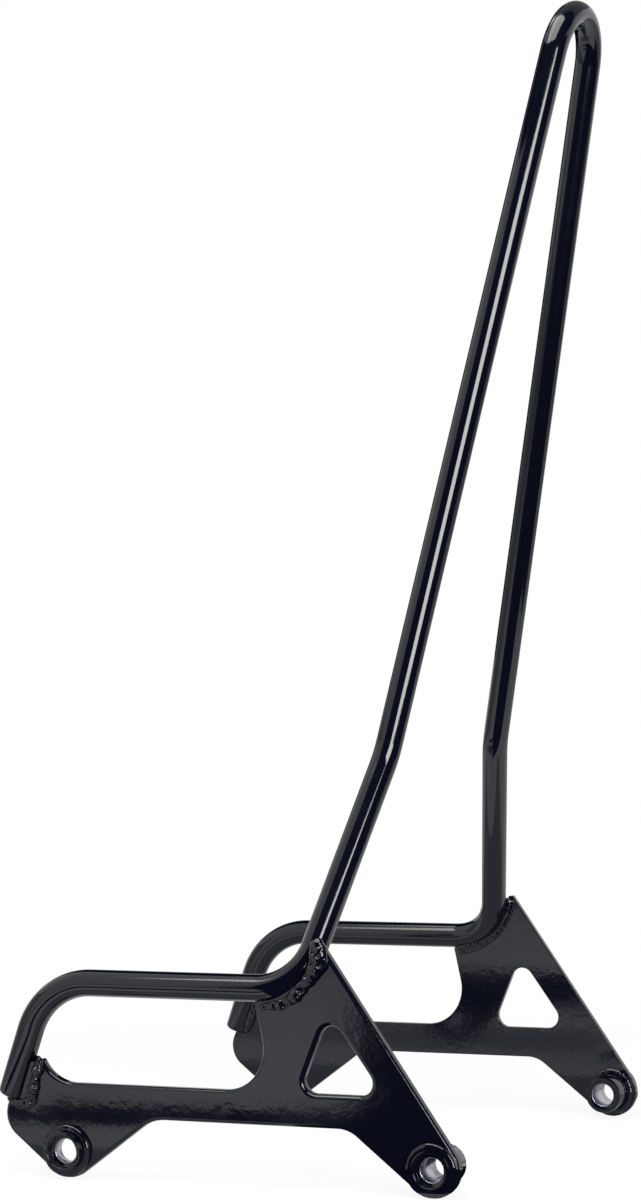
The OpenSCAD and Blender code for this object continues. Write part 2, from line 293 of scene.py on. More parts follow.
@dataclass(frozen=True)
class TurnedSteel:
    """Bare mild steel, bored to size on a lathe after coating."""

    name: str = "mild steel bored bright"
    colour: str = "#c3c2cc"
    worn_colour: str = "#9a98a6"
    roughness: float = 0.3
    feed: float = 0.45
    feed_depth: float = 0.008
    ring_squeeze: float = 0.02
    stain_width: float = 5.0

    def material(self) -> bpy.types.Material:
        """Build the steel: pale, softly mirrored, with rings left by the boring tool.

        Returns:
            The material.
        """
        made, tree = blank_material(self.name)
        place = add_node(tree, "ShaderNodeTexCoord").outputs["Object"]
        # The tool's feed leaves rings along the bore. They are drawn a little coarser than real.
        along = add_node(tree, "ShaderNodeMapping", None,
                         {"Vector": place, "Scale": (self.ring_squeeze, 1.0, self.ring_squeeze)})
        rings = add_node(tree, "ShaderNodeTexNoise", None,
                         {"Vector": along.outputs["Vector"], "Scale": per_mm(self.feed), "Detail": 2.0})
        # Cutting fluid and handling leave faint darker clouds on the bright steel.
        stain = add_node(tree, "ShaderNodeTexNoise", None,
                         {"Vector": place, "Scale": per_mm(self.stain_width), "Detail": 3.0,
                          "Roughness": 0.6})
        tone = add_node(tree, "ShaderNodeMix", {"data_type": "RGBA"},
                        {"Factor": stain.outputs["Fac"], "A": linear(self.colour),
                         "B": linear(self.worn_colour)})
        bump = add_node(tree, "ShaderNodeBump", None,
                        {"Height": rings.outputs["Fac"], "Strength": 1.0, "Distance": self.feed_depth * MM})
        surface = add_node(tree, "ShaderNodeBsdfPrincipled", None,
                           {"Base Color": tone.outputs["Result"], "Metallic": 1.0,
                            "Roughness": self.roughness, "Normal": bump.outputs["Normal"]})
        add_node(tree, "ShaderNodeOutputMaterial", None, {"Surface": surface.outputs["BSDF"]})
        return made


# The frame's own measures


@dataclass(frozen=True)
class Layout:
    """Where the frame stands in the row, read from the CAD boxes."""

    origin_x: float
    half_spacing: float
    hole_spacing: float
    bore_height: float
    plate_t: float

    @classmethod
    def read(cls) -> "Layout":
        """Read the left bushings' and plate's boxes.

        Returns:
            The layout in millimetres.
        """
        front_low, front_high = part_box("front_bushing_left")
        rear_low, rear_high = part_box("rear_bushing_left")
        plate_low, plate_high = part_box("side_plate_left")
        front_x = (front_low[0] + front_high[0]) / 2 / MM
        return cls(
            origin_x=front_x,
            half_spacing=-(plate_low[1] + plate_high[1]) / 2 / MM,
            hole_spacing=(rear_low[0] + rear_high[0]) / 2 / MM - front_x,
            bore_height=(front_low[2] + front_high[2]) / 2 / MM,
            plate_t=(plate_high[1] - plate_low[1]) / MM,
        )

    def at(self, x: float, y: float, z: float) -> Vector:
        """A point in row metres, from millimetres behind the front bushing, across and above ground."""
        return Vector(((x + self.origin_x) * MM, y * MM, z * MM))

    def beside(self, side: Side, x: float, out: float, z: float) -> Vector:
        """A point in row metres, out millimetres outwards from the middle of that side's plate."""
        return self.at(x, side.value * (self.half_spacing + out), z)


# The bent bar


@dataclass
class HoopBar:
    """The one round bar, bent into two runs, two uprights and the crown."""

    layout: Layout
    coat: bpy.types.Material
    bar_d: float = 12.9
    run_height: float = 93.4
    front_leg_angle: float = 70.5
    front_corner_x: float = -12.0
    leg_end_height: float = 38.2
    end_chamfer: float = 1.1
    front_bend_r: float = 35.0
    rear_corner_x: float = 122.0
    rear_bend_r: float = 26.0
    kink_width: float = 146.8
    kink_x: float = 145.6
    kink_height: float = 199.5
    kink_bend_r: float = 40.0
    crown_height: float = 558.9
    upper_lean: float = 12.4
    crown_r: float = 25.3
    settle_rounds: int = 12
    # How the coat rounds the chamfered ends: the chamfer's bulge, as shares of its length along and
    # into the bar, and the softened edges on the end's face and on the bar's skin
    bulge: tuple[float, float] = (0.55, 0.42)
    face_ease: float = 0.25
    face_depth: float = 0.06
    skin_inset: float = 0.08
    skin_ease: float = 0.5
    around: int = 48
    bend_step: float = 2.5
    crease: float = 60.0

    def corners(self) -> tuple[list[Vector], list[float]]:
        """Corner points of the centre line and the bend radius at each inner one.

        Returns:
            The points in millimetres, from the left leg's end to the right one's, and the radii.
        """
        half = self.layout.half_spacing
        drop = self.run_height - self.leg_end_height
        foot_x = self.front_corner_x - drop / math.tan(math.radians(self.front_leg_angle))
        foot = Vector((foot_x, -half, self.leg_end_height))
        front = Vector((self.front_corner_x, -half, self.run_height))
        rear = Vector((self.rear_corner_x, -half, self.run_height))
        kink = Vector((self.kink_x, -self.kink_width / 2, self.kink_height))
        rise = self.crown_height - self.kink_height
        crown_x = self.kink_x + rise * math.tan(math.radians(self.upper_lean))
        # The crown's half-width settles where the leaning upright meets the arc's tangent.
        half_w = self.crown_r
        for _ in range(self.settle_rounds):
            way = Vector((crown_x - self.kink_x, -kink.y - half_w, rise)).normalized()
            half_w = self.crown_r * math.tan(math.radians(90 - math.degrees(math.asin(way.y))) / 2)
        shoulder = Vector((crown_x, -half_w, self.crown_height))
        up = (shoulder - kink).normalized()
        peak = shoulder + up * (half_w / up.y)
        left = [foot, front, rear, kink]
        right = [Vector((p.x, -p.y, p.z)) for p in reversed(left)]
        bends = [self.front_bend_r, self.rear_bend_r, self.kink_bend_r]
        return left + [peak] + right, bends + [self.crown_r] + bends[::-1]

    def centre_line(self) -> list[Vector]:
        """Points along the centre line, close together in the bends.

        Returns:
            The points in millimetres.
        """
        points, radii = self.corners()
        line = [points[0]]
        for i, radius in enumerate(radii):
            before, corner, after = points[i], points[i + 1], points[i + 2]
            come, go = (corner - before).normalized(), (after - corner).normalized()
            turn = come.angle(go)
            reach = radius * math.tan(turn / 2)
            start = corner - come * reach
            inward = (go - come * go.dot(come)).normalized()
            steps = max(2, math.ceil(math.degrees(turn) / self.bend_step))
            for s in range(steps + 1):
                a = turn * s / steps
                inset = radius * (1 - math.cos(a))
                line.append(start + come * (radius * math.sin(a)) + inward * inset)
        line.append(points[-1])
        return line

    def rings(self, line: Sequence[Vector]) -> list[tuple[Vector, Vector, float]]:
        """Centre, direction and radius of each ring of the swept skin.

        Args:
            line: The centre line.

        Returns:
            The rings in millimetres, with the chamfers at both ends.
        """
        bar_r = self.bar_d / 2
        ways = []
        for i in range(len(line)):
            back = (line[i] - line[i - 1]).normalized() if i else None
            ahead = (line[i + 1] - line[i]).normalized() if i + 1 < len(line) else None
            ways.append(((back or ahead) + (ahead or back)).normalized())
        cut = self.end_chamfer
        ease = [
            (0.0, bar_r - cut - self.face_ease), (self.face_depth, bar_r - cut),
            (cut * self.bulge[0], bar_r - cut * self.bulge[1]),
            (cut, bar_r - self.skin_inset), (cut + self.skin_ease, bar_r),
        ]
        first = [(line[0] + ways[0] * d, ways[0], r) for d, r in ease]
        last = [(line[-1] - ways[-1] * d, ways[-1], r) for d, r in reversed(ease)]
        middle = [(p, w, bar_r) for p, w in zip(line[1:-1], ways[1:-1])]
        return first + middle + last

    def build(self) -> bpy.types.Object:
        """Sweep the round skin along the centre line, cap its ends and coat it.

        Returns:
            The bar.
        """
        rings = self.rings(self.centre_line())
        mesh = bmesh.new()
        across = Vector((0, 1, 0))
        rows = []
        for centre, way, radius in rings:
            across = (across - way * across.dot(way)).normalized()
            other = way.cross(across)
            row = []
            for k in range(self.around):
                a = 2 * math.pi * k / self.around
                spot = centre + across * (radius * math.cos(a)) + other * (radius * math.sin(a))
                row.append(mesh.verts.new(self.layout.at(*spot)))
            rows.append(row)
        for low, high in zip(rows, rows[1:]):
            for k in range(self.around):
                n = (k + 1) % self.around
                mesh.faces.new((low[k], low[n], high[n], high[k]))
        mesh.faces.new(rows[0][::-1])
        mesh.faces.new(rows[-1])
        bmesh.ops.recalc_face_normals(mesh, faces=mesh.faces)
        made = piece_from(mesh, "hoop_bar", [self.coat])
        made.data.set_sharp_from_angle(angle=math.radians(self.crease))
        declare(made, "black_coat", "bent_bar")
        return made


# The side plates


@dataclass
class SidePlate:
    """One flat plate, cut from sheet, with its cut edges eased before coating."""

    layout: Layout
    side: Side
    coat: bpy.types.Material
    inner_ease: float = 0.5
    outer_ease: float = 1.7
    window_ease: float = 2.2
    ease_steps: int = 4
    # The window's corners, as x and height, and how far outside their triangle its rim may lie
    window: tuple[tuple[float, float], ...] = ((121.4, 45.3), (164.2, 45.3), (137.4, 83.3))
    window_slack: float = 1.1
    # The coped joints with the bar lie ahead of this x and above this height
    joints: tuple[tuple[float, float], ...] = ((133.0, 83.0), (-17.0, 36.0))
    rim_angle: float = 40.0
    flat_angle: float = 0.6
    merge: float = 0.002

    def on_plate(self, spot: Vector) -> tuple[float, float]:
        """The x and height, in millimetres, of a point in row-frame metres."""
        return spot.x / MM - self.layout.origin_x, spot.z / MM

    def weigh_rims(self, mesh: bmesh.types.BMesh) -> None:
        """Give each rim its share of the widest rounding: the punch drew the outer face's rims in.

        Args:
            mesh: The plate, in row-frame metres.
        """
        weight = mesh.edges.layers.float.new("bevel_weight_edge")
        centre = self.layout.beside(self.side, 0, 0, 0).y
        for edge in mesh.edges:
            if len(edge.link_faces) != 2 or edge.calc_face_angle() < math.radians(self.rim_angle):
                continue
            out = [(v.co.y - centre) * self.side.value for v in edge.verts]
            if min(out) * max(out) < 0:
                continue
            ease = self.inner_ease if out[0] < 0 else self.outer_ease
            spot = (edge.verts[0].co + edge.verts[1].co) / 2
            if self.under_weld(spot):
                continue
            if out[0] > 0 and self.in_window(spot):
                ease = self.window_ease
            edge[weight] = ease / self.window_ease

    def under_weld(self, spot: Vector) -> bool:
        """Tell whether a rim point lies in a coped joint with the bar, which keeps its sharp rims.

        Args:
            spot: The point in row-frame metres.

        Returns:
            Whether weld metal covers it.
        """
        x, z = self.on_plate(spot)
        return any(x < rear and z > low for rear, low in self.joints)

    def in_window(self, spot: Vector) -> bool:
        """Tell whether a rim point belongs to the window.

        Args:
            spot: The point in row-frame metres.

        Returns:
            Whether it lies on the window's rim.
        """
        x, z = self.on_plate(spot)
        for (x0, z0), (x1, z1) in zip(self.window, self.window[1:] + self.window[:1]):
            inside = ((x1 - x0) * (z - z0) - (z1 - z0) * (x - x0)) / math.hypot(x1 - x0, z1 - z0)
            if inside < -self.window_slack:
                return False
        return True

    def build(self) -> bpy.types.Object:
        """Copy the plate's exact outline, clean its facets and round its cut edges.

        Returns:
            The plate.
        """
        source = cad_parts[f"side_plate_{self.side.word}"]
        mesh = bmesh.new()
        mesh.from_mesh(source.data)
        mesh.transform(source.matrix_world)
        bmesh.ops.remove_doubles(mesh, verts=mesh.verts, dist=self.merge * MM)
        bmesh.ops.dissolve_limit(mesh, angle_limit=math.radians(self.flat_angle), verts=mesh.verts,
                                 edges=mesh.edges, use_dissolve_boundaries=False)
        bmesh.ops.recalc_face_normals(mesh, faces=mesh.faces)
        self.weigh_rims(mesh)
        made = piece_from(mesh, f"plate_{self.side.word}", [self.coat])
        ease = made.modifiers.new("eased edges", "BEVEL")
        ease.width = self.window_ease * MM
        ease.segments = self.ease_steps
        ease.limit_method = "WEIGHT"
        ease.use_clamp_overlap = False
        settled(made)
        weigh = made.modifiers.new("flat faces stay flat", "WEIGHTED_NORMAL")
        weigh.keep_sharp = True
        declare(made, "black_coat", f"side_plate_{self.side.word}")
        return made


# The bushings


@dataclass
class Bushing:
    """One turned bushing: coated outside and in its counterbore, with a bright bore."""

    layout: Layout
    side: Side
    where: Where
    x: float
    out: float
    inward: float
    counterbore: float
    coat: bpy.types.Material
    steel: bpy.types.Material
    outer_d: float = 19.0
    bore_d: float = 11.4
    head_d: float = 15.6
    chamfer: float = 0.6
    bulge: float = 0.2
    bore_ease: float = 0.25
    floor_ease: float = 0.12
    # The counterbore's rounded lip, as steps outwards from its wall and down from the top
    lip: tuple[tuple[float, float], ...] = ((0.45, 0.0), (0.12, 0.1), (0.0, 0.35))
    around: int = 96
    crease: float = 50.0

    def profile(self) -> list[tuple[float, float, Skin]]:
        """Radius, outward position and skin of each corner of the turned section.

        Returns:
            The corners, in order round the section. The skin belongs to the stretch that starts at
            that corner.
        """
        outer, bore, head, ease = self.outer_d / 2, self.bore_d / 2, self.head_d / 2, self.chamfer
        top = self.layout.plate_t / 2 + self.out
        base = -self.layout.plate_t / 2 - self.inward
        floor = top - self.counterbore
        bulge = self.bulge * ease
        coated = [
            (bore + self.bore_ease, base), (outer - ease, base), (outer - bulge, base + bulge),
            (outer, base + ease), (outer, top - ease), (outer - bulge, top - bulge), (outer - ease, top),
            *[(head + step, top - depth) for step, depth in self.lip],
            (head, floor + self.floor_ease), (head - self.floor_ease, floor),
        ]
        bare = [
            (bore + self.bore_ease, floor), (bore, floor - self.bore_ease), (bore, base + self.bore_ease),
        ]
        return [(*corner, Skin.COAT) for corner in coated] + [(*corner, Skin.BARE_STEEL) for corner in bare]

    def build(self) -> bpy.types.Object:
        """Turn the section about the bolt's axis and dress its faces.

        Returns:
            The bushing.
        """
        corners = self.profile()
        mesh = bmesh.new()
        rows = []
        for k in range(self.around):
            a = 2 * math.pi * k / self.around
            rows.append([
                mesh.verts.new(self.layout.beside(
                    self.side, self.x + r * math.cos(a), out, self.layout.bore_height + r * math.sin(a)))
                for r, out, _ in corners
            ])
        for i, face in enumerate(turned_skin(rows, mesh)):
            face.material_index = corners[i % len(corners)][2].value
        name = f"{self.where.value}_bushing_turned_{self.side.word}"
        made = piece_from(mesh, name, [self.coat, self.steel])
        made.data.set_sharp_from_angle(angle=math.radians(self.crease))
        declare(made, "bushing_finish", f"{self.where.value}_bushing_{self.side.word}")
        return made


# The welds


@dataclass(frozen=True)
class Drop:
    """One frozen drop of weld metal: its place, its size and how flat it lies."""

    x: float
    out: float
    z: float
    r: float
    flat: float = 0.8


@dataclass(frozen=True)
class TorchPass:
    """One pass of the torch, as the x, height and drop radius of points along it.

    Out is how far outwards it lies from the middle of the plate, and flat is how thick a drop is
    against its width.
    """

    points: tuple[Corner, ...]
    out: float
    flat: float = 0.8


@dataclass
class WeldBead:
    """A run of weld drops that melted into each other, under the coat.

    A dent is a drop that is taken away: its flat gives its depth in millimetres.
    """

    layout: Layout
    side: Side
    name: str
    node: str
    drops: Sequence[Drop]
    coat: bpy.types.Material
    voxel: float = 0.3
    dents: Sequence[Drop] = ()
    size_spread: float = 0.07
    lump_width: float = 3.6
    lump_depth: float = 0.45
    fine_scale: float = 2.3
    fine_share: float = 0.3
    smoothing: int = 6
    smooth_factor: float = 0.5
    drop_subdivisions: int = 3
    seed: int = 1
    seed_step: tuple[float, float] = (0.37, 0.11)

    def build(self) -> bpy.types.Object:
        """Melt the drops into one skin, work it like molten metal that set, and coat it.

        Returns:
            The bead.
        """
        mesh = bmesh.new()
        chance = random.Random(self.seed)
        for drop in self.drops:
            r = drop.r * (1 + chance.uniform(-self.size_spread, self.size_spread))
            press = Matrix.Diagonal((1, drop.flat, 1, 1))
            spot = Matrix.Translation(self.layout.beside(self.side, drop.x, drop.out, drop.z))
            bmesh.ops.create_icosphere(mesh, subdivisions=self.drop_subdivisions, radius=r * MM,
                                       matrix=spot @ press)
        made = piece_from(mesh, self.name, [self.coat])
        melt = made.modifiers.new("melt", "REMESH")
        melt.mode = "VOXEL"
        melt.voxel_size = self.voxel * MM
        melt.use_smooth_shade = True
        ease = made.modifiers.new("ease", "SMOOTH")
        ease.factor = self.smooth_factor
        ease.iterations = self.smoothing
        settled(made)
        self.work(made)
        declare(made, "black_coat", self.node)
        return made

    def work(self, made: bpy.types.Object) -> None:
        """Push the skin in and out in small lumps, and sink the hollows between frozen drops.

        Args:
            made: The melted bead.
        """
        shift = Vector((self.seed * self.seed_step[0], self.seed * self.seed_step[1], 0))
        data = made.data
        normals = [v.normal.copy() for v in data.vertices]
        for vertex, normal in zip(data.vertices, normals):
            spot = vertex.co * per_mm(self.lump_width) + shift
            lump = noise.noise(spot) + self.fine_share * noise.noise(spot * self.fine_scale)
            push = lump * self.lump_depth
            for dent in self.dents:
                middle = self.layout.beside(self.side, dent.x, dent.out, dent.z)
                near = 1 - ((vertex.co - middle).length / (dent.r * MM)) ** 2
                if near > 0:
                    push -= dent.flat * near * near
            vertex.co += normal * (push * MM)
        data.update()


@dataclass
class FilletRing:
    """The smooth weld fillet about a bushing, on the plate's outer face."""

    layout: Layout
    side: Side
    where: Where
    x: float
    coat: bpy.types.Material
    inner_r: float = 9.45
    leg: float = 3.1
    height: float = 2.7
    sink: float = 0.3
    # The swell along the ring: its share of the section, and its long and short waves
    wobble: float = 0.1
    waves: float = 2.2
    short_scale: float = 4.0
    short_share: float = 0.3
    # The exponent of the section's curve: 1 would be an ellipse and 0 a square corner
    square: float = 0.5
    section_steps: int = 12
    seed: int = 3
    around: int = 96
    crease: float = 70.0

    def build(self) -> bpy.types.Object:
        """Turn a swelling fillet about the bushing, with the slight waves of a hand-laid weld.

        Returns:
            The ring.
        """
        mesh = bmesh.new()
        base = self.layout.plate_t / 2 - self.sink
        rows = []
        for k in range(self.around):
            a = 2 * math.pi * k / self.around
            spot = Vector((math.cos(a) * self.waves, math.sin(a) * self.waves, self.seed))
            short = noise.noise(spot * self.short_scale)
            swell = 1 + self.wobble * noise.noise(spot) + self.short_share * self.wobble * short
            section = [(self.inner_r, base), (self.inner_r + self.leg * swell, base)]
            for i in range(self.section_steps + 1):
                t = math.pi / 2 * i / self.section_steps
                section.append((self.inner_r + self.leg * swell * math.cos(t) ** self.square,
                                base + self.sink + self.height * swell * math.sin(t) ** self.square))
            rows.append([
                mesh.verts.new(self.layout.beside(
                    self.side, self.x + r * math.cos(a), out, self.layout.bore_height + r * math.sin(a)))
                for r, out in section
            ])
        turned_skin(rows, mesh)
        made = piece_from(mesh, f"{self.where.value}_ring_weld_{self.side.word}", [self.coat])
        made.data.set_sharp_from_angle(angle=math.radians(self.crease))
        declare(made, "black_coat", f"{self.where.value}_bushing_weld_{self.side.word}")
        return made


@dataclass
class Welds:
    """All welds of one side: beads beside the leg and the bend, and rings about the bushings."""

    layout: Layout
    side: Side
    coat: bpy.types.Material
    pitch: float = 1.25
    left_seed: int = 11
    right_seed: int = 29
    # The ragged bead beside the front leg, the flat lump under its cut end and the dark hollows
    leg_side: TorchPass = TorchPass(
        ((-14.6, 54.9, 1.8), (-15.6, 50.6, 2.5), (-16.9, 46.2, 2.2), (-17.8, 41.9, 2.7),
         (-19.0, 37.8, 2.7)), out=3.0)
    leg_under: TorchPass = TorchPass(
        ((-19.2, 36.6, 2.9), (-21.6, 34.9, 2.9), (-25.0, 34.2, 2.8), (-28.6, 35.3, 2.4),
         (-30.8, 36.8, 1.8)), out=2.6, flat=0.5)
    leg_hollows: tuple[Drop, ...] = (
        Drop(-14.9, 4.8, 52.6, 1.6, 1.0), Drop(-18.6, 5.0, 47.6, 1.6, 1.0),
        Drop(-16.2, 5.0, 43.8, 1.7, 1.1), Drop(-19.4, 5.0, 40.6, 1.5, 0.9),
        Drop(-18.6, 4.2, 35.4, 1.6, 0.9))
    leg_inside: TorchPass = TorchPass(
        ((-18.4, 55.0, 2.0), (-20.4, 49.0, 2.4), (-22.6, 43.0, 2.4), (-24.6, 38.6, 2.1)), out=-3.0)
    # The bead along the rear bend, the glob at the plate's tip, which is smaller on the right side,
    # and the dark hollows where the torch stopped and started again
    bend_low: TorchPass = TorchPass(
        ((104.5, 85.0, 1.6), (109.0, 85.5, 2.1), (113.0, 86.1, 2.6), (116.0, 87.4, 2.2),
         (119.0, 89.0, 2.9), (122.5, 91.6, 3.2), (125.3, 95.0, 2.7), (128.5, 98.2, 3.1)),
        out=2.9, flat=0.7)
    left_glob: TorchPass = TorchPass(
        ((130.5, 100.9, 3.3), (133.0, 104.4, 4.2), (134.0, 108.0, 4.7), (134.0, 111.6, 4.4),
         (133.2, 114.4, 3.3)), out=3.3, flat=0.85)
    right_glob: TorchPass = TorchPass(
        ((130.5, 100.9, 2.7), (132.0, 104.2, 2.5), (132.6, 107.5, 2.2)), out=3.0)
    bend_hollows: tuple[Drop, ...] = (
        Drop(116.2, 4.6, 85.4, 2.1, 1.5), Drop(124.6, 5.0, 93.2, 2.4, 1.6),
        Drop(127.6, 5.0, 100.2, 1.8, 1.2), Drop(131.0, 6.6, 106.0, 1.8, 1.0),
        Drop(134.6, 6.8, 109.6, 1.7, 1.0), Drop(132.2, 6.8, 111.2, 1.5, 0.9),
        Drop(135.4, 6.2, 105.2, 1.6, 0.9))
    # The two smooth passes inside the rear bend: the bend's centre, the angles that the drops lie
    # at, and each pass's radius about the centre, drop radius and flatness
    bend_centre: tuple[float, float] = (100.1, 119.4)
    bend_start: float = 6.0
    bend_turn: float = 1.6
    bend_drops: int = 46
    bend_out: float = -2.7
    bend_passes: tuple[Corner, ...] = ((32.6, 2.1, 0.85), (35.0, 1.35, 0.7))
    # The rippled ring about the rear bushing, on the plate's inner face
    ring_r: float = 10.3
    ring_drops: int = 44
    ring_out: float = -2.9
    ring_drop_r: float = 1.9
    ring_flat: float = 0.85
    # How deep the lumps are in each bead's skin
    leg_lumps: float = 0.5
    leg_inner_lumps: float = 0.3
    bend_lumps: float = 0.55
    smooth_lumps: float = 0.12

    def chain(self, laid: TorchPass) -> list[Drop]:
        """Drops set closely along a pass of the torch.

        Args:
            laid: The pass.

        Returns:
            The drops.
        """
        made = []
        for (x0, z0, r0), (x1, z1, r1) in zip(laid.points, laid.points[1:]):
            steps = max(1, round(math.hypot(x1 - x0, z1 - z0) / self.pitch))
            for s in range(steps):
                t = s / steps
                x, z, r = x0 + (x1 - x0) * t, z0 + (z1 - z0) * t, r0 + (r1 - r0) * t
                made.append(Drop(x, laid.out, z, r, laid.flat))
        x, z, r = laid.points[-1]
        made.append(Drop(x, laid.out, z, r, laid.flat))
        return made

    def ripple(self, drops: list[Drop], every: int, swell: float) -> list[Drop]:
        """Make every few drops of a chain stand out, as the ripples of a weld do."""
        return [Drop(d.x, d.out, d.z, d.r * (swell if i % every == 0 else 1), d.flat)
                for i, d in enumerate(drops)]

    def leg_outer(self) -> list[Drop]:
        """The ragged bead beside the front leg and the flat lump under its cut end."""
        return self.ripple(self.chain(self.leg_side), every=4, swell=1.2) + self.chain(self.leg_under)

    def leg_inner(self) -> list[Drop]:
        """The short bead beside the leg on the plate's inner face."""
        return self.ripple(self.chain(self.leg_inside), every=3, swell=1.1)

    def bend_outer(self) -> list[Drop]:
        """The bead along the rear bend, which grows into a glob at the plate's tip."""
        glob = self.left_glob if self.side is Side.LEFT else self.right_glob
        return self.ripple(self.chain(self.bend_low), every=5, swell=1.1) + self.chain(glob)

    def bend_inner(self) -> list[Drop]:
        """The smooth bead along the rear bend on the plate's inner face, with a lower second pass.

        Returns:
            The drops.
        """
        x, z = self.bend_centre
        drops = []
        for i in range(self.bend_drops):
            a = math.radians(self.bend_start + self.bend_turn * i)
            for reach, r, flat in self.bend_passes:
                drops.append(Drop(x + reach * math.sin(a), self.bend_out, z - reach * math.cos(a), r, flat))
        return self.ripple(drops, every=7, swell=1.05)

    def ring_inner(self) -> list[Drop]:
        """The rippled ring about the rear bushing on the plate's inner face.

        Returns:
            The drops.
        """
        drops = []
        for i in range(self.ring_drops):
            a = 2 * math.pi * i / self.ring_drops
            drops.append(Drop(self.layout.hole_spacing + self.ring_r * math.cos(a), self.ring_out,
                              self.layout.bore_height + self.ring_r * math.sin(a), self.ring_drop_r,
                              self.ring_flat))
        return self.ripple(drops, every=4, swell=1.1)

    def build(self) -> list[bpy.types.Object]:
        """Build every weld of this side.

        Returns:
            The welds.
        """
        word = self.side.word
        seed = self.left_seed if self.side is Side.LEFT else self.right_seed
        made: list[bpy.types.Object] = []
        # Each bead's piece and node, its drops and hollows, and the depth of its lumps
        beads = [
            ("leg_weld_outer", "front_leg_weld", self.leg_outer(), self.leg_hollows, self.leg_lumps),
            ("leg_weld_inner", "front_leg_inner_weld", self.leg_inner(), (), self.leg_inner_lumps),
            ("bend_weld_outer", "rear_bend_weld", self.bend_outer(), self.bend_hollows, self.bend_lumps),
            ("bend_weld_inner", "rear_bend_inner_weld", self.bend_inner(), (), self.smooth_lumps),
            ("ring_weld_inner", "rear_bushing_inner_weld", self.ring_inner(), (), self.smooth_lumps),
        ]
        for i, (name, node, drops, dents, depth) in enumerate(beads):
            made.append(WeldBead(self.layout, self.side, f"{name}_{word}", f"{node}_{word}", drops,
                                 self.coat, dents=dents, lump_depth=depth, seed=seed + i).build())
        for where, x in ((Where.FRONT, 0.0), (Where.REAR, self.layout.hole_spacing)):
            made.append(FilletRing(self.layout, self.side, where, x, self.coat, seed=seed).build())
        return made


# The studio


def round_point(middle: Sequence[float], azimuth: float, distance: float) -> tuple[float, float]:
    """The x and y at a distance from a middle: azimuth 0 is to its left side and 90 behind it."""
    a = math.radians(azimuth)
    return (middle[0] + distance * math.sin(a), middle[1] - distance * math.cos(a))


@dataclass(frozen=True)
class SoftBox:
    """A soft box at an azimuth round its aim. Its radiance is how bright its face is, 1 is white."""

    name: str
    azimuth: float
    height: float
    distance: float
    size: tuple[float, float]
    radiance: float
    aim: Corner


@dataclass(frozen=True)
class Screen:
    """A cloth hung round a middle, from one azimuth to another.

    Its distances are those of its lower and its upper rim, and its upper rim may slope down past
    an azimuth. Its shade is how bright it looks, where 1 is white.
    """

    name: str
    middle: tuple[float, float]
    azimuths: tuple[float, float]
    steps: int
    distances: tuple[float, float]
    low: float
    high: float
    slope: float = 0.0
    slope_from: float = 30.0
    shade: float = 0.006

    def corners(self) -> list[Corner]:
        """Points of the cloth, as pairs of a lower and an upper one.

        Returns:
            The points in metres.
        """
        start, end = self.azimuths
        made = []
        for i in range(self.steps + 1):
            azimuth = start + (end - start) * i / self.steps
            top = self.high - self.slope * max(0.0, azimuth - self.slope_from)
            made.append((*round_point(self.middle, azimuth, self.distances[0]), self.low))
            made.append((*round_point(self.middle, azimuth, self.distances[1]), top))
        return made


@dataclass(frozen=True)
class FloorCloth:
    """A cloth laid just above the floor, with the x and y of pairs of points across it."""

    name: str
    height: float
    points: tuple[tuple[float, float], ...]
    shade: float = 0.006

    def corners(self) -> list[Corner]:
        """Points of the cloth, as pairs across it."""
        return [(x, y, self.height) for x, y in self.points]


